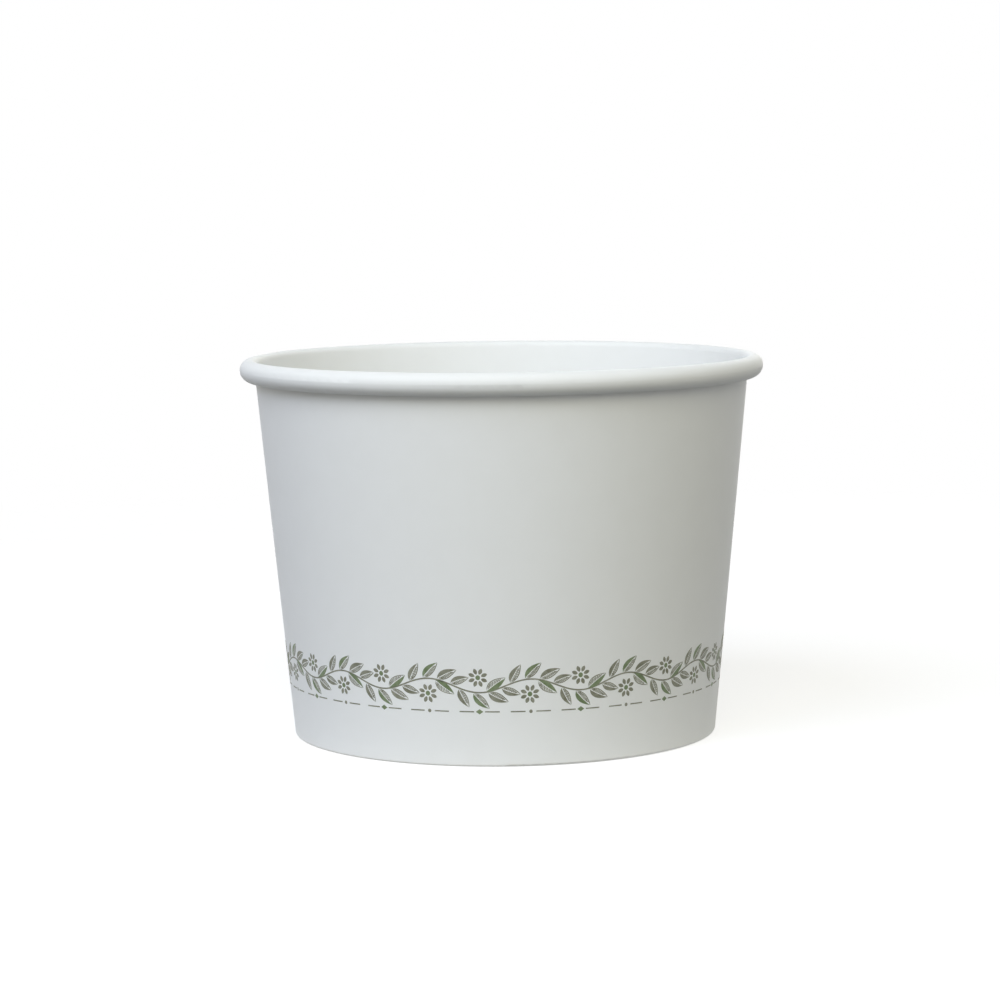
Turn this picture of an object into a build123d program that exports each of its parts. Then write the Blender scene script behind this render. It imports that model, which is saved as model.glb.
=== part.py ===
from build123d import *
import os
from math import asin, atan2, cos, degrees, hypot, sin, tan

# A single-portion paper soup container, open at the top, with no lid.
# One coated board blank makes the sidewall: a cone with a rolled rim, a side lap and a hemmed foot.
# A second board makes the bottom: a recessed disc whose skirt is sealed between wall and hem.
# The origin is the centre of the foot's ring, on the table, and +Z points out of the mouth.

# Overall sizes
HEIGHT = 65.0
RIM_DIAMETER = 90.0
FOOT_DIAMETER = 73.0

# Board, and the melted film that seals one ply to the next
BOARD = 0.40
SEAL = 0.03

# Rolled rim: the wall turns over, comes round a shoulder and is tucked in under itself
RIM_TURN_BEND = 0.64
RIM_SHOULDER_RADIUS = 1.80
RIM_TUCK_BEND = 0.17
RIM_TUCK_GAP = 0.08
RIM_TUCK_ANGLE = 140.0

# Foot: the wall is folded in and up round the bottom's skirt, and its cut edge stays below the disc
FOLD_RADIUS = 0.46
HEM_DROP = 0.9

# Bottom: the height of the disc's underside, and the inside of the bend from disc to skirt
RECESS = 6.5
BOTTOM_BEND = 0.6

# Side lap at the back: its doubled width, the ramp where the outer ply comes down beside it,
# how soft that ramp is at its two ends, how far its toe runs under the wall's face,
# and how far the doubled board swells the roll of the rim
LAP_WIDTH = 7.5
LAP_RAMP = 2.6
LAP_EASE_SHARE = 0.45
LAP_TOE_SINK = 0.01
LAP_RIM_SWELL = 0.18
LAP_MIDDLE_ANGLE = 150.0

# The wall leans so that its outer face runs from the foot's edge into the bend of the rim
FOOT_RADIUS = FOOT_DIAMETER / 2
RIM_RADIUS = RIM_DIAMETER / 2
TURN_RADIUS = RIM_TURN_BEND + BOARD
TURN_Z = HEIGHT - TURN_RADIUS
SHOULDER_R = RIM_RADIUS - RIM_SHOULDER_RADIUS
TURN_OUT = SHOULDER_R - FOOT_RADIUS
LEAN = atan2(TURN_OUT, TURN_Z) - asin(RIM_TURN_BEND / hypot(TURN_OUT, TURN_Z))

# Below its widest height the roll's underside is as full as leaves the tuck its room beside the wall
ROLL_Z = HEIGHT - RIM_SHOULDER_RADIUS
OVERHANG = RIM_RADIUS - FOOT_RADIUS - ROLL_Z * tan(LEAN)
TUCK_RADIUS = RIM_TUCK_BEND + BOARD
UNDERSIDE_ROOM = OVERHANG * cos(LEAN) - TUCK_RADIUS * (1 + sin(LEAN)) - RIM_TUCK_GAP
UNDERSIDE_RADIUS = UNDERSIDE_ROOM / (cos(LEAN) - sin(LEAN))
UNDERSIDE_R = RIM_RADIUS - UNDERSIDE_RADIUS
TUCK_Z = ROLL_Z - UNDERSIDE_RADIUS + TUCK_RADIUS

# Faces of the plies at the foot, as depths from the wall's outer face inwards
SKIRT_OUTSIDE = BOARD + SEAL
SKIRT_INSIDE = SKIRT_OUTSIDE + BOARD
HEM_OUTSIDE = SKIRT_INSIDE + SEAL
HEM_INSIDE = HEM_OUTSIDE + BOARD
HEM_TOP = RECESS - BOTTOM_BEND - HEM_DROP

# The lap runs from just above the fold up into the roll, and its angles are taken at the foot
LAP_FOOT = FOLD_RADIUS
LAP_TOP = TUCK_Z
LAP_SINK = BOARD / 2
LAP_TURN = degrees(LAP_WIDTH / FOOT_RADIUS)
LAP_END = LAP_MIDDLE_ANGLE + LAP_TURN / 2
RAMP_END = LAP_END + degrees(LAP_RAMP / FOOT_RADIUS)


def wall_point(depth, z):
    """Radius and height of a point that lies depth inside the wall's outer face."""
    return (FOOT_RADIUS + z * tan(LEAN) - depth / cos(LEAN), z)


def roll_side(swell, inset):
    """The roll's outer side: shoulder and underside, swollen outwards or set inside the shown face."""
    shoulder = CenterArc((SHOULDER_R + swell, ROLL_Z), RIM_SHOULDER_RADIUS - inset, 90, -90)
    underside = CenterArc((UNDERSIDE_R + swell, ROLL_Z), UNDERSIDE_RADIUS - inset, 0, -90)
    return [shoulder, underside]


def rolled_line(inset):
    """The rim's turn, roll and tuck: one tangent line, on the shown face or one board inside it."""
    turn = CenterArc((SHOULDER_R, TURN_Z), TURN_RADIUS - inset, 90, 90 - degrees(LEAN))
    tuck = CenterArc((UNDERSIDE_R, TUCK_Z), TUCK_RADIUS - inset, -90, -RIM_TUCK_ANGLE)
    return [turn, *roll_side(0, inset), tuck]


def sidewall_section():
    """The blank's section, one board thick: wall, fold and hem below, rolled rim above."""
    shown = rolled_line(0)
    hidden = rolled_line(BOARD)
    wall_and_hem = FilletPolyline(
        shown[0] @ 1,
        wall_point(BOARD, BOARD),
        wall_point(HEM_OUTSIDE, BOARD),
        wall_point(HEM_OUTSIDE, HEM_TOP),
        wall_point(HEM_INSIDE, HEM_TOP),
        wall_point(HEM_INSIDE, 0),
        wall_point(0, 0),
        hidden[0] @ 1,
        radius=[0, 0, 0, 0, FOLD_RADIUS, FOLD_RADIUS],
    )
    cut_edge = Line(shown[-1] @ 1, hidden[-1] @ 1)
    return make_face([wall_and_hem, *shown, *hidden, cut_edge])


def over_the_lap(outline):
    """Turns a section round the axis over the width of the lap."""
    return Rot(0, 0, LAP_END - LAP_TURN) * revolve(Plane.XZ * make_face(outline), Axis.Z, LAP_TURN)


def lap_band():
    """The outer ply where it lies over the inner one, sunk a little into the wall to join it."""
    strip = Polyline(
        wall_point(LAP_SINK, LAP_FOOT),
        wall_point(-BOARD, LAP_FOOT),
        wall_point(-BOARD, LAP_TOP),
        wall_point(LAP_SINK, LAP_TOP),
        close=True,
    )
    return over_the_lap(strip)


def lap_swell():
    """The fuller roll of the rim over the lap: a crescent that fades out at its top and bottom."""
    outside = roll_side(LAP_RIM_SWELL, 0)
    sunk = roll_side(0, LAP_SINK)
    ends = [Line(outside[0] @ 0, sunk[0] @ 0), Line(outside[-1] @ 1, sunk[-1] @ 1)]
    return over_the_lap([*outside, *sunk, *ends])


def lap_wedge(foot_z, top_z, crest, toe, back):
    """A slim wedge up the wall from the lap's end to the ramp's end, given by three depths.

    Its slope eases out of the crest and into the toe.
    """
    ease = LAP_EASE_SHARE * (RAMP_END - LAP_END)
    slope = ((crest, LAP_END), (crest, LAP_END + ease), (toe, RAMP_END - ease), (toe, RAMP_END))
    corners = ((toe, RAMP_END), (back, RAMP_END), (back, LAP_END), (crest, LAP_END))
    ends = []
    for z in (foot_z, top_z):
        eased, sides = [
            [Vector(wall_point(depth, z)[0], 0, z).rotate(Axis.Z, angle) for depth, angle in line]
            for line in (slope, corners)
        ]
        ends.append(make_face([Bezier(*eased), Polyline(*sides)]))
    return loft(ends, ruled=True)


def sidewall():
    """The formed blank: the outer ply ramps down past the inner ply's cut edge at the lap."""
    wall = revolve(Plane.XZ * sidewall_section(), Axis.Z)
    ramp = lap_wedge(LAP_FOOT, LAP_TOP, -BOARD, LAP_TOE_SINK, LAP_SINK)
    hollow = lap_wedge(LAP_FOOT + BOARD, LAP_TOP - BOARD, 0, BOARD + LAP_TOE_SINK, BOARD + LAP_SINK)
    return wall + lap_band() + lap_swell() + ramp - hollow


def bottom_disc():
    """The bottom board: a flat disc with its edge bent down into the skirt that the hem grips."""
    skirt_foot = BOARD + SEAL
    section = FilletPolyline(
        (0, RECESS),
        wall_point(SKIRT_INSIDE, RECESS),
        wall_point(SKIRT_INSIDE, skirt_foot),
        wall_point(SKIRT_OUTSIDE, skirt_foot),
        wall_point(SKIRT_OUTSIDE, RECESS + BOARD),
        (0, RECESS + BOARD),
        radius=[BOTTOM_BEND, 0, 0, BOTTOM_BEND + BOARD],
    )
    axis_side = Line(section @ 1, section @ 0)
    return revolve(Plane.XZ * make_face([section, axis_side]), Axis.Z)


os.makedirs("parts", exist_ok=True)
export_step(sidewall(), "parts/sidewall.step")
export_step(bottom_disc(), "parts/bottom_disc.step")
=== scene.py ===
from cmath import exp
from math import cos, pi, radians, sin, sqrt

import bpy
from mathutils import Matrix, Vector
from mathutils.bvhtree import BVHTree


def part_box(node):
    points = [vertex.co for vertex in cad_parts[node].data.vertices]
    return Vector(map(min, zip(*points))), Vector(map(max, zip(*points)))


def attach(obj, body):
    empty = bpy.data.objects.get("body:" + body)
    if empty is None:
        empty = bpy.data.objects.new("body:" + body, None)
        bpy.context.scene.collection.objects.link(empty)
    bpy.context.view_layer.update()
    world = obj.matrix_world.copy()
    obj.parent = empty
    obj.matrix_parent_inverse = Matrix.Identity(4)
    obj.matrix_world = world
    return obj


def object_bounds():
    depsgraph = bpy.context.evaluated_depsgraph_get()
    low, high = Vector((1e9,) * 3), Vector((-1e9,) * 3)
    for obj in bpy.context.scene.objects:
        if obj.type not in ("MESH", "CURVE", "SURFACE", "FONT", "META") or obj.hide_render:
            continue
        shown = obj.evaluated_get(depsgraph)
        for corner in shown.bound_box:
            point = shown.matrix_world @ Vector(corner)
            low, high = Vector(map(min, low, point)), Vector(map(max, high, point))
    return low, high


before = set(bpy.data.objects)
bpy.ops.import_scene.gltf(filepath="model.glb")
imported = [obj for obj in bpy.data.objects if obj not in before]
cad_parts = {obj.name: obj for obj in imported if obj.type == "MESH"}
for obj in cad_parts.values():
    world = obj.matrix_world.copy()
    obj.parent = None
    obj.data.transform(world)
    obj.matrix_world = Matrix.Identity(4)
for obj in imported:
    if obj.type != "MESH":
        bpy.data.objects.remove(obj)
cad_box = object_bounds()


# Sidewall
# One blank of white board, clay coated outside and lined with clear film inside, wound into a cone.
# It is lapped and melted together up the back, rolled over at the rim and folded in at the foot as a
# knurled hem. Only the lap's two cut edges show the raw fibre of the board.
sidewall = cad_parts["sidewall"]
ROLL_HEIGHT = 0.0038
HEM_HEIGHT = 0.0051
COAT_WHITE = (0.860, 0.868, 0.860, 1)
COAT_THIN = (0.852, 0.860, 0.851, 1)
RAW_FIBRE = (0.780, 0.750, 0.690, 1)
COAT_ROUGHNESS = 0.52
FILM_ROUGHNESS = 0.56
RAW_ROUGHNESS = 0.90
BOARD_SHINE = 0.18
CLOUD_SIZE = 0.0042
CLOUD_DETAIL = 4
CLOUD_LIMITS = (0.38, 0.64)
TOOTH_SIZE = 0.00038
TOOTH_DETAIL = 3
TOOTH_MIDDLE = 0.5
TOOTH_ROUGHNESS = 0.10
TOOTH_DEPTH = 2.6e-6
FIBRE_SIZE = 0.00070
FIBRE_DETAIL = 3
FIBRE_STRETCH = 0.25
FIBRE_DEPTH = 3.0e-6
KNURLS = 180
KNURL_DEPTH = 0.00006
# How far sideways a face looks before it begins to count as cut, and when it counts in full
CUT_LIMITS = (0.5, 0.8)


def place(tree, kind, inputs=None, **options):
    """Adds a shader node, sets its options, and fills or links its inputs by name or number."""
    node = tree.nodes.new("ShaderNode" + kind)
    for option, value in options.items():
        setattr(node, option, value)
    for socket, value in (inputs or {}).items():
        if isinstance(value, bpy.types.NodeSocket):
            tree.links.new(value, node.inputs[socket])
        else:
            node.inputs[socket].default_value = value
    return node


def sums(tree, operation, *values):
    """The result of one Math node."""
    return place(tree, "Math", dict(enumerate(values)), operation=operation).outputs[0]


def vectors(tree, operation, *values):
    """The result of one Vector Math node: a number from a dot product or a length, or else a vector."""
    node = place(tree, "VectorMath", dict(enumerate(values)), operation=operation)
    return node.outputs["Value" if operation in ("DOT_PRODUCT", "LENGTH") else "Vector"]


def ramp(tree, value, limits, low=0, high=1):
    """A number that goes from low to high as a value goes from the first limit to the second."""
    start, end = limits
    inputs = {"Value": value, "From Min": start, "From Max": end, "To Min": low, "To Max": high}
    return place(tree, "MapRange", inputs).outputs["Result"]


def noise(tree, where, size, detail):
    """Noise with lumps of about a given size, from 0 to 1."""
    return place(tree, "TexNoise", {"Vector": where, "Scale": 1 / size, "Detail": detail}).outputs[0]


def blended(tree, share, first, second):
    """A colour that goes from the first to the second as the share goes from 0 to 1.

    The Mix node's sockets for colours share their names with others, so they go by number.
    """
    return place(tree, "Mix", {0: share, 6: first, 7: second}, data_type="RGBA").outputs[2]


def new_group(name, inputs, outputs):
    """An empty shader group, with what it is given and what it shows as pairs of a name and a kind."""
    group = bpy.data.node_groups.new(name, "ShaderNodeTree")
    for way, sockets in (("INPUT", inputs), ("OUTPUT", outputs)):
        for socket, kind in sockets:
            group.interface.new_socket(socket, in_out=way, socket_type="NodeSocket" + kind)
    return group, group.nodes.new("NodeGroupInput").outputs, group.nodes.new("NodeGroupOutput").inputs


def coated_board():
    """Pressed board: slow clouds where the coat is thinner, a fine tooth, and fibres that run upwards."""
    inputs = (("White", "Color"), ("Thin", "Color"), ("Roughness", "Float"))
    outputs = (("Color", "Color"), ("Roughness", "Float"), ("Height", "Float"))
    group, given, shown = new_group("coated_board", inputs, outputs)
    here = place(group, "TexCoord").outputs["Object"]
    drawn_out = vectors(group, "MULTIPLY", here, (1, 1, FIBRE_STRETCH))
    clouds = noise(group, here, CLOUD_SIZE, CLOUD_DETAIL)
    tooth = noise(group, here, TOOTH_SIZE, TOOTH_DETAIL)
    fibres = noise(group, drawn_out, FIBRE_SIZE, FIBRE_DETAIL)
    thin = ramp(group, clouds, CLOUD_LIMITS)
    uneven = sums(group, "MULTIPLY", sums(group, "SUBTRACT", tooth, TOOTH_MIDDLE), TOOTH_ROUGHNESS)
    tooth_height = sums(group, "MULTIPLY", tooth, TOOTH_DEPTH)
    group.links.new(blended(group, thin, given["White"], given["Thin"]), shown["Color"])
    group.links.new(sums(group, "ADD", given["Roughness"], uneven), shown["Roughness"])
    group.links.new(sums(group, "MULTIPLY_ADD", fibres, FIBRE_DEPTH, tooth_height), shown["Height"])
    return group


def round_the_axis():
    """Where a point of a round piece is: its turn, height and distance, and which way its face looks."""
    names = ("Turn", "Height", "Radius", "Outward", "Sideways")
    group, _, shown = new_group("round_the_axis", (), [(name, "Float") for name in names])
    here = place(group, "TexCoord").outputs["Object"]
    normal = place(group, "NewGeometry").outputs["Normal"]
    x, y, z = place(group, "SeparateXYZ", {0: here}).outputs
    level = place(group, "CombineXYZ", {0: x, 1: y}).outputs[0]
    outward = vectors(group, "NORMALIZE", level)
    sideways = vectors(group, "DOT_PRODUCT", normal, vectors(group, "CROSS_PRODUCT", (0, 0, 1), outward))
    group.links.new(sums(group, "ARCTAN2", y, x), shown["Turn"])
    group.links.new(z, shown["Height"])
    group.links.new(vectors(group, "LENGTH", level), shown["Radius"])
    group.links.new(vectors(group, "DOT_PRODUCT", normal, outward), shown["Outward"])
    group.links.new(sums(group, "ABSOLUTE", sideways), shown["Sideways"])
    return group


def pressed_ridges():
    """Ridges side by side round the axis, in full depth where the share is 1, added to a board's height."""
    names = ("Turn", "Count", "Depth", "Share", "Height")
    inputs = [(name, "Float") for name in names]
    group, given, shown = new_group("pressed_ridges", inputs, (("Height", "Float"),))
    wave = sums(group, "SINE", sums(group, "MULTIPLY", given["Turn"], given["Count"]))
    swing = sums(group, "DIVIDE", given["Depth"], 2)
    ridges = sums(group, "MULTIPLY", sums(group, "MULTIPLY", wave, given["Share"]), swing)
    group.links.new(sums(group, "ADD", ridges, given["Height"]), shown["Height"])
    return group


BOARD = coated_board()
ROUND = round_the_axis()
RIDGES = pressed_ridges()


def new_material(name):
    """A material with its tree and the inputs of its main shader."""
    material = bpy.data.materials.new(name)
    material.use_nodes = True
    return material, material.node_tree, material.node_tree.nodes["Principled BSDF"].inputs


def coat(tree, roughness):
    """Places the coated board in a material, with a roughness that its tooth makes uneven."""
    inputs = {"White": COAT_WHITE, "Thin": COAT_THIN, "Roughness": roughness}
    return place(tree, "Group", inputs, node_tree=BOARD).outputs


def ridged(tree, board, turn, count, depth, share):
    """The normal of a material's board with ridges pressed into it, from heights in metres."""
    inputs = {"Turn": turn, "Count": count, "Depth": depth, "Share": share, "Height": board["Height"]}
    height = place(tree, "Group", inputs, node_tree=RIDGES).outputs["Height"]
    return place(tree, "Bump", {"Height": height, "Distance": 1}).outputs["Normal"]


def wall_board(top):
    """The wall's board: satin outside, film inside and over the rim, matt where it is cut."""
    material, tree, shader = new_material("wall_board")
    spot = place(tree, "Group", node_tree=ROUND).outputs
    inside = sums(tree, "LESS_THAN", spot["Outward"], 0)
    rolled = sums(tree, "GREATER_THAN", spot["Height"], top - ROLL_HEIGHT)
    lined = sums(tree, "MAXIMUM", inside, rolled)
    board = coat(tree, ramp(tree, lined, (0, 1), COAT_ROUGHNESS, FILM_ROUGHNESS))
    cut = ramp(tree, spot["Sideways"], CUT_LIMITS)
    hem = sums(tree, "MULTIPLY", inside, sums(tree, "LESS_THAN", spot["Height"], HEM_HEIGHT))
    knurled = ridged(tree, board, spot["Turn"], KNURLS, KNURL_DEPTH, hem)
    rough = ramp(tree, cut, (0, 1), board["Roughness"], RAW_ROUGHNESS)
    tree.links.new(blended(tree, cut, board["Color"], RAW_FIBRE), shader["Base Color"])
    tree.links.new(rough, shader["Roughness"])
    tree.links.new(knurled, shader["Normal"])
    shader["Specular IOR Level"].default_value = BOARD_SHINE
    return material


sidewall.data.materials.clear()
sidewall.data.materials.append(wall_board(cad_box[1].z))


# Bottom disc
# A round of the same board, film side up, pressed down into the wall with its edge bent into a skirt.
# The skirt is melted between the wall and the hem, and the bend gathers the board in many small pleats.
bottom_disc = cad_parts["bottom_disc"]
PLEATS = 110
PLEAT_DEPTH = 0.00005
PLEAT_REACH = 0.0022


def bottom_board(edge):
    """The bottom's board: film above, satin below, with pleats that fade in towards its edge."""
    material, tree, shader = new_material("bottom_board")
    spot = place(tree, "Group", node_tree=ROUND).outputs
    up = place(tree, "SeparateXYZ", {0: place(tree, "NewGeometry").outputs["Normal"]}).outputs["Z"]
    board = coat(tree, ramp(tree, up, (0, 1), COAT_ROUGHNESS, FILM_ROUGHNESS))
    gathered = ramp(tree, spot["Radius"], (edge - PLEAT_REACH, edge))
    pleated = ridged(tree, board, spot["Turn"], PLEATS, PLEAT_DEPTH, gathered)
    tree.links.new(board["Color"], shader["Base Color"])
    tree.links.new(board["Roughness"], shader["Roughness"])
    tree.links.new(pleated, shader["Normal"])
    shader["Specular IOR Level"].default_value = BOARD_SHINE
    return material


disc_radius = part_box("bottom_disc")[1].x
bottom_disc.data.materials.clear()
bottom_disc.data.materials.append(bottom_board(disc_radius))


# Printed border
# Two water-based inks, olive and leaf green, laid on the flat blank before it is wound: a vine that runs
# right round the cup in waves, with lined leaves and small daisies, above a broken rule.
# A place in the print is a complex number: metres round the wall, and metres up from the border's middle.
BORDER_MIDDLE = 0.0136
WAVES = 14
SWING = 0.0011
STEM_WIDTH = 0.00024
STEM_STEPS = 12
LEAF_GAP = 0.00030
LEAF_FULLNESS_SHARE = 0.43
# Powers below 1 bring a leaf's belly nearer to its foot, and make the ends of leaves and petals blunter
LEAF_BELLY_POWER = 0.80
LEAF_BLUNT_POWER = 0.85
LEAF_BEND_SHARE = 0.12
LEAF_STEPS = 10
LINE_WIDTH = 0.00015
MIDRIB_WIDTH = 0.00014
# The two halves of a leaf stay this far apart at its tips, so that their films don't share an edge
HALVES_GAP = 0.00001
STROKE_PITCH = 0.00040
STROKE_SHARES = (0.10, 0.76)
STROKE_SLANT_SHARE = 0.13
STROKE_GAP = 0.00004
# Each leaf of a half wave: its place along the half, its turn from the stem in degrees, its length,
# and whether its solid half is green
VINE_LEAVES = (
    (0.09, 46, 0.0034, False),
    (0.37, 42, 0.0036, True),
    (0.62, -34, 0.0038, True),
    (0.65, 42, 0.0036, False),
    (0.91, 46, 0.0032, False),
)
DAISY_SHARE = 0.48
DAISY_DROP = 0.00140
DAISY_EYE_RADIUS = 0.00040
PETALS = 8
PETAL_START = 0.00056
PETAL_LENGTH = 0.00108
PETAL_WIDTH = 0.00062
PETAL_BLUNT_POWER = 0.7
PETAL_STEPS = 6
RULE_DROP = 0.0043
RULE_WIDTH = 0.00020
RULE_STEPS = 8
RULE_GAP = 0.0009
RULE_DOT_RADIUS = 0.00030
DOT_STEPS = 8
DIAMOND_HALF_LENGTH = 0.00062
DIAMOND_HALF_WIDTH = 0.00043
INK_LIFT = 0.00002
INK_THICKNESS = 0.000014
# Corners of one shape whose places agree to this many decimals are one corner
CORNER_DECIMALS = 7
OLIVE_INK = (0.155, 0.157, 0.106, 1)
OLIVE_THIN = (0.275, 0.277, 0.215, 1)
GREEN_INK = (0.118, 0.163, 0.072, 1)
GREEN_THIN = (0.210, 0.262, 0.148, 1)
INK_ROUGHNESS = 0.50
INK_CLOUD_SIZE = 0.0009
INK_CLOUD_DETAIL = 3
INK_CLOUD_LIMITS = (0.35, 0.70)

wall_surface = BVHTree.FromObject(sidewall, bpy.context.evaluated_depsgraph_get())
outside = 2 * cad_box[1].x


def on_wall(turn, height):
    """The wall's outer face at a turn round the axis and a height: the point, and the way outwards."""
    outward = Vector((cos(turn), sin(turn), 0))
    start = outward * outside + Vector((0, 0, height))
    return wall_surface.ray_cast(start, -outward)[0], outward


border_radius = on_wall(-pi / 2, BORDER_MIDDLE)[0].xy.length
half_wave = pi * border_radius / WAVES


def trail(points, width):
    """A ribbon of even width along a line: its left side and its right side."""
    left = []
    right = []
    for i, point in enumerate(points):
        ahead = points[min(i + 1, len(points) - 1)] - points[max(i - 1, 0)]
        side = 1j * ahead / abs(ahead) * width / 2
        left.append(point + side)
        right.append(point - side)
    return left, right


def lens(foot, heading, length, half_width, steps):
    """A shape that is pointed or round at both ends, with its half width given by a function."""
    shares = [i / steps for i in range(steps + 1)]
    left = [foot + heading * complex(share * length, half_width(share)) for share in shares]
    right = [foot + heading * complex(share * length, -half_width(share)) for share in shares]
    return left, right


def dot(middle, radius):
    """A round spot."""

    def half(share):
        return 2 * radius * sqrt(share - share * share)

    return lens(middle - radius, 1, 2 * radius, half, DOT_STEPS)


def petal(middle, turn):
    """One petal of a daisy."""
    heading = exp(1j * turn)

    def half(share):
        return PETAL_WIDTH / 2 * sin(pi * share) ** PETAL_BLUNT_POWER if 0 < share < 1 else 0

    return lens(middle + heading * PETAL_START, heading, PETAL_LENGTH, half, PETAL_STEPS)


def leaf(foot, heading, length, bend):
    """One leaf: a solid half on the left of the midrib, and on the right an edge with slanting strokes."""
    shares = [i / LEAF_STEPS for i in range(LEAF_STEPS + 1)]
    fullness = LEAF_FULLNESS_SHARE * length / 2

    def spot(share, off):
        return foot + heading * complex(share * length, off + bend * length * share * share)

    def half(share):
        return fullness * sin(pi * share ** LEAF_BELLY_POWER) ** LEAF_BLUNT_POWER if 0 < share < 1 else 0

    solid = [spot(s, half(s)) for s in shares], [spot(s, min(MIDRIB_WIDTH / 2, half(s))) for s in shares]
    inner = [spot(s, -HALVES_GAP - max(half(s) - LINE_WIDTH, 0)) for s in shares]
    outer = [spot(s, -HALVES_GAP - half(s)) for s in shares]
    lines = [(inner, outer)]
    first, last = STROKE_SHARES
    strokes = int(length / STROKE_PITCH)
    for i in range(strokes):
        start = first + (last - first) * i / (strokes - 1)
        end = start + STROKE_SLANT_SHARE
        reach = half(end) - LINE_WIDTH - STROKE_GAP
        if reach > MIDRIB_WIDTH:
            lines.append(trail([spot(start, -MIDRIB_WIDTH / 2), spot(end, -reach)], LINE_WIDTH))
    return solid, lines


def half_wave_of_vine():
    """The olive and the green shapes beside one half wave of the stem, which arches upwards there."""
    olive = []
    green = []
    for share, turn, length, is_green in VINE_LEAVES:
        slope = complex(half_wave, SWING * pi * cos(pi * share))
        heading = slope / abs(slope) * exp(1j * radians(turn))
        foot = complex(half_wave * share, SWING * sin(pi * share)) + heading * LEAF_GAP
        solid, lines = leaf(foot, heading, length, -LEAF_BEND_SHARE if turn > 0 else LEAF_BEND_SHARE)
        (green if is_green else olive).append(solid)
        olive += lines
    daisy = complex(half_wave * DAISY_SHARE, -DAISY_DROP)
    green.append(dot(daisy, DAISY_EYE_RADIUS))
    olive += [petal(daisy, pi * (2 * i + 1) / PETALS) for i in range(PETALS)]
    return olive, green


def diamond(middle):
    """A small diamond that lies along the wall."""
    back = middle - DIAMOND_HALF_LENGTH
    front = middle + DIAMOND_HALF_LENGTH
    waist = 1j * DIAMOND_HALF_WIDTH
    return [back, middle + waist, front], [back, middle - waist, front]


def half_wave_of_rule(has_diamond):
    """A stretch of the rule below one half wave: a dash, a dot or a diamond, and a dash."""
    middle = complex(half_wave / 2, -RULE_DROP)
    dash = half_wave / 2 - 2 * RULE_GAP
    olive = []
    for start in (middle - RULE_GAP - dash, middle + RULE_GAP):
        olive.append(trail([start + dash * i / RULE_STEPS for i in range(RULE_STEPS + 1)], RULE_WIDTH))
    if has_diamond:
        return olive, [diamond(middle)]
    return olive + [dot(middle, RULE_DOT_RADIUS)], []


def along_the_wall(shapes, halves, turned_over=False):
    """Shapes moved along by a number of half waves, and turned over where the vine swings down."""
    way = halves * half_wave
    placed = []
    for left, right in shapes:
        if turned_over:
            left, right = [p.conjugate() for p in right], [p.conjugate() for p in left]
        placed.append(([p + way for p in left], [p + way for p in right]))
    return placed


def uneven_ink():
    """Ink that lies a little thinner in places, and takes the coat's own sheen there."""
    inputs = (("Full", "Color"), ("Thin", "Color"))
    outputs = (("Color", "Color"), ("Roughness", "Float"))
    group, given, shown = new_group("uneven_ink", inputs, outputs)
    here = place(group, "TexCoord").outputs["Object"]
    thin = ramp(group, noise(group, here, INK_CLOUD_SIZE, INK_CLOUD_DETAIL), INK_CLOUD_LIMITS)
    rough = ramp(group, thin, (0, 1), INK_ROUGHNESS, COAT_ROUGHNESS)
    group.links.new(blended(group, thin, given["Full"], given["Thin"]), shown["Color"])
    group.links.new(rough, shown["Roughness"])
    return group


INK = uneven_ink()


def ink_material(name, full, thin):
    """One of the two inks."""
    material, tree, shader = new_material(name)
    ink = place(tree, "Group", {"Full": full, "Thin": thin}, node_tree=INK).outputs
    tree.links.new(ink["Color"], shader["Base Color"])
    tree.links.new(ink["Roughness"], shader["Roughness"])
    return material


def ink_film(name, shapes, slot, full, thin):
    """Lays printed shapes on the wall as a thin film that follows it, over the lap as well."""
    points = []
    faces = []
    for left, right in shapes:
        corners = {}
        row = None
        for pair in zip(left, right):
            ahead = []
            # Where the two sides meet in a point, there is one corner
            for at in dict.fromkeys(pair):
                spot, outward = on_wall(at.real / border_radius - pi / 2, BORDER_MIDDLE + at.imag)
                corner = corners.setdefault(spot.to_tuple(CORNER_DECIMALS), len(points))
                if corner == len(points):
                    points.append(spot + outward * INK_LIFT)
                ahead.append(corner)
            if row:
                faces.append([*row, *reversed(ahead)])
            row = ahead
    mesh = bpy.data.meshes.new(name)
    mesh.from_pydata(points, [], faces)
    mesh.materials.append(ink_material(slot, full, thin))
    film = bpy.data.objects.new(name, mesh)
    bpy.context.collection.objects.link(film)
    thickness = film.modifiers.new("ink thickness", "SOLIDIFY")
    thickness.thickness = INK_THICKNESS
    thickness.offset = -1
    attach(film, "root")


stem = []
for i in range(2 * WAVES * STEM_STEPS + 1):
    stem.append(complex(half_wave * i / STEM_STEPS, SWING * sin(pi * i / STEM_STEPS)))
olive_shapes = [trail(stem, STEM_WIDTH)]
green_shapes = []
vine = half_wave_of_vine()
for halves in range(2 * WAVES):
    downwards = halves % 2 == 1
    rule = half_wave_of_rule(has_diamond=downwards)
    olive_shapes += along_the_wall(vine[0], halves, downwards) + along_the_wall(rule[0], halves)
    green_shapes += along_the_wall(vine[1], halves, downwards) + along_the_wall(rule[1], halves)

ink_film("olive_print", olive_shapes, "olive_ink", OLIVE_INK, OLIVE_THIN)
ink_film("green_print", green_shapes, "leaf_green_ink", GREEN_INK, GREEN_THIN)


# Floor
# A plain white studio floor that fades out into the white behind it. The eye sees it white with the
# container's soft shadow. It throws back less light than it shows, and under the container it lets light
# up from below, so that the underside isn't black.
FLOOR_RADIUS = 0.40
FLOOR_FADE = 0.16
FLOOR_SIDES = 96
FLOOR_SHOWN = (0.55, 0.55, 0.55, 1)
FLOOR_GLOW = 0.60
# Light comes up as far out as this past the bottom disc's edge
FOOT_CLEARANCE = 0.0007
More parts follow.
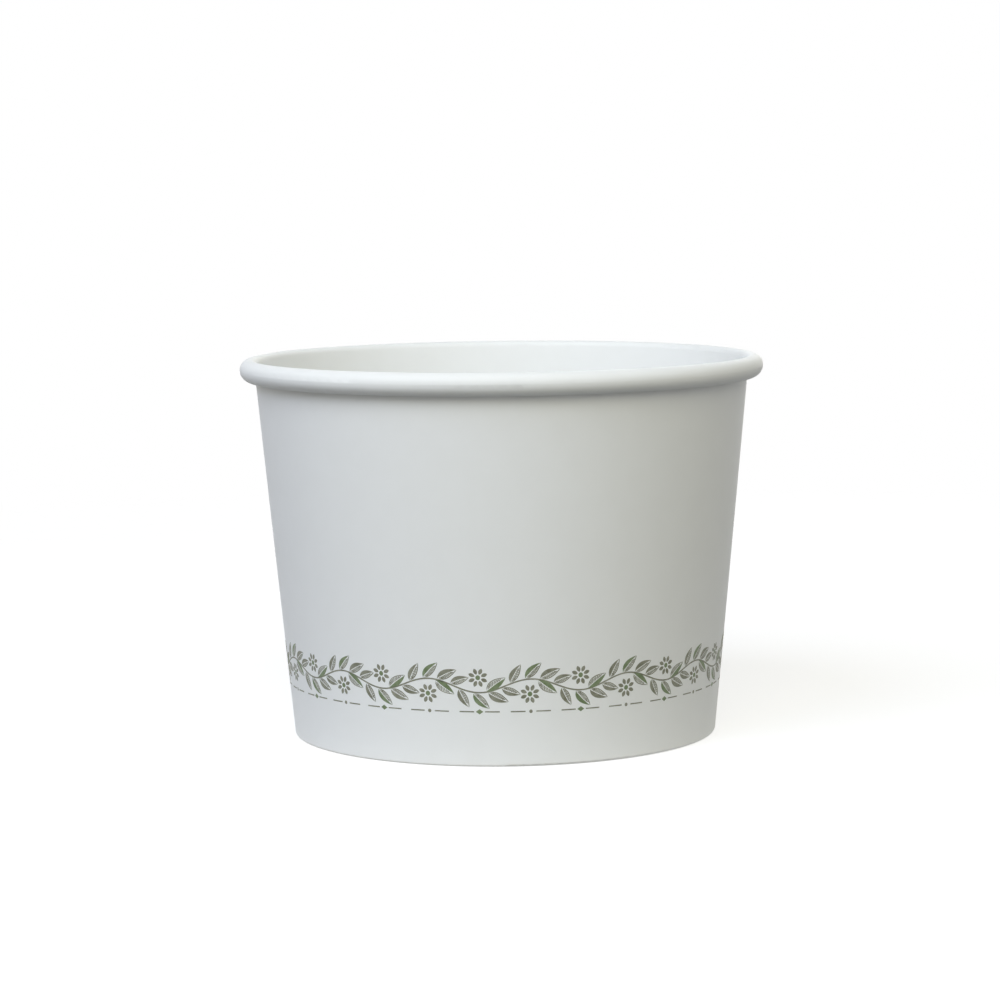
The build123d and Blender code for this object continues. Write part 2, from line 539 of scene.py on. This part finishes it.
# A patch round the foot throws back more light than the rest, and fades into it between these radii
PATCH_LIMITS = (0.040, 0.080)
PATCH_THROWN = 0.45
FLOOR_THROWN = 0.08


def seen_directly(tree):
    """1 for what the camera sees, also through gloss or glass, and 0 for light on its way to the object."""
    path = place(tree, "LightPath").outputs
    gloss = sums(tree, "MAXIMUM", path["Is Glossy Ray"], path["Is Transmission Ray"])
    return sums(tree, "MAXIMUM", path["Is Camera Ray"], gloss)


def studio_floor(disc_edge):
    """White to the eye and grey to the light; clear at its edge, from below, and to light under the foot."""
    material, tree, _ = new_material("studio_floor")
    output = tree.nodes["Material Output"].inputs["Surface"]
    tree.nodes.remove(tree.nodes["Principled BSDF"])
    radius = place(tree, "Group", node_tree=ROUND).outputs["Radius"]
    grey = ramp(tree, radius, PATCH_LIMITS, PATCH_THROWN, FLOOR_THROWN)
    thrown = place(tree, "BsdfDiffuse", {"Color": grey}).outputs[0]
    matt = place(tree, "BsdfDiffuse", {"Color": FLOOR_SHOWN}).outputs[0]
    glow = place(tree, "Emission", {"Strength": FLOOR_GLOW}).outputs[0]
    shown = place(tree, "AddShader", {0: matt, 1: glow}).outputs[0]
    seen = seen_directly(tree)
    white = place(tree, "MixShader", {0: seen, 1: thrown, 2: shown}).outputs[0]
    fade = ramp(tree, radius, (FLOOR_FADE, FLOOR_RADIUS))
    below = place(tree, "NewGeometry").outputs["Backfacing"]
    under = sums(tree, "LESS_THAN", radius, disc_edge + FOOT_CLEARANCE)
    lit_through = sums(tree, "MULTIPLY", under, sums(tree, "SUBTRACT", 1, seen))
    share = sums(tree, "MAXIMUM", sums(tree, "MAXIMUM", fade, below), lit_through)
    clear = place(tree, "BsdfTransparent").outputs[0]
    tree.links.new(place(tree, "MixShader", {0: share, 1: white, 2: clear}).outputs[0], output)
    return material


floor_edge = [FLOOR_RADIUS * exp(2j * pi * i / FLOOR_SIDES) for i in range(FLOOR_SIDES)]
floor_mesh = bpy.data.meshes.new("floor")
floor_mesh.from_pydata([(p.real, p.imag, cad_box[0].z) for p in floor_edge], [], [range(FLOOR_SIDES)])
floor_mesh.materials.append(studio_floor(disc_radius))
floor = bpy.data.objects.new("floor", floor_mesh)
bpy.context.collection.objects.link(floor)


# Light
# A soft dome that is brightest at its sides and dim overhead, and that lights the underside from below.
# A cool wide lamp stands high on the left, a warm one in front and a weak one low behind.
# The room is plain white to the eye, and the object gets the dimmer dome.
ROOM_WHITE = (1, 1, 1, 1)
DOME_SIDES = (0.750, 0.750, 0.716, 1)
DOME_TOP = (0.150, 0.150, 0.143, 1)
DOME_LOW = (0.300, 0.300, 0.286, 1)
DOME_BELOW = (0.600, 0.600, 0.572, 1)
CONTAINER_MIDDLE = (cad_box[0] + cad_box[1]) / 2
# Each lamp: its name, its place, how wide it is, its power in watts and its colour
LAMPS = (
    ("left_lamp", (-0.40, -0.46, 0.64), 0.60, 3.98, (0.72, 0.80, 1.0)),
    ("front_lamp", (0.06, -0.74, 0.63), 0.60, 3.12, (1.0, 0.99, 0.81)),
    ("back_lamp", (0.20, 0.80, 0.25), 0.60, 1.80, (1.0, 1.0, 0.96)),
)

world = bpy.data.worlds.new("studio")
bpy.context.scene.world = world
world.use_nodes = True
sky = world.node_tree
dim = sky.nodes["Background"]
rise = place(sky, "SeparateXYZ", {0: place(sky, "TexCoord").outputs["Generated"]}).outputs["Z"]
upper = blended(sky, rise, DOME_SIDES, DOME_TOP)
lower = blended(sky, sums(sky, "MULTIPLY", rise, rise), DOME_LOW, DOME_BELOW)
dome = blended(sky, sums(sky, "LESS_THAN", rise, 0), upper, lower)
sky.links.new(dome, dim.inputs["Color"])
room = place(sky, "Background", {"Color": ROOM_WHITE}).outputs[0]
shown = place(sky, "MixShader", {0: seen_directly(sky), 1: dim.outputs[0], 2: room}).outputs[0]
sky.links.new(shown, sky.nodes["World Output"].inputs["Surface"])

for name, where, size, power, colour in LAMPS:
    data = bpy.data.lights.new(name, "AREA")
    data.shape = "DISK"
    data.size = size
    data.energy = power
    data.color = colour
    lamp = bpy.data.objects.new(name, data)
    lamp.location = where
    lamp.rotation_euler = (Vector(where) - CONTAINER_MIDDLE).to_track_quat("Z", "Y").to_euler()
    lamp.visible_camera = False
    bpy.context.collection.objects.link(lamp)


# Camera
# A long lens a little above the rim, looking down at the side where the border shows. Its place and its
# angles, in radians, are those that bring the rim and the foot to where the photograph has them.
CAMERA_PLACE = Vector((0, -0.55870, 0.10032))
CAMERA_PITCH = 0.10765
CAMERA_TURN = 0.00089
CAMERA_ROLL = -0.01148
LENS_MM = 116.79
SENSOR_MM = 36
NEAREST_SEEN = 0.01

camera_data = bpy.data.cameras.new("camera")
camera_data.lens = LENS_MM
camera_data.sensor_width = SENSOR_MM
camera_data.clip_start = NEAREST_SEEN
camera = bpy.data.objects.new("camera", camera_data)
bpy.context.collection.objects.link(camera)
tilt = Matrix.Rotation(pi / 2 - CAMERA_PITCH, 4, "X") @ Matrix.Rotation(CAMERA_ROLL, 4, "Z")
camera.matrix_world = Matrix.Translation(CAMERA_PLACE) @ Matrix.Rotation(CAMERA_TURN, 4, "Z") @ tilt
bpy.context.scene.camera = camera
bpy.context.scene.view_settings.view_transform = "Standard"
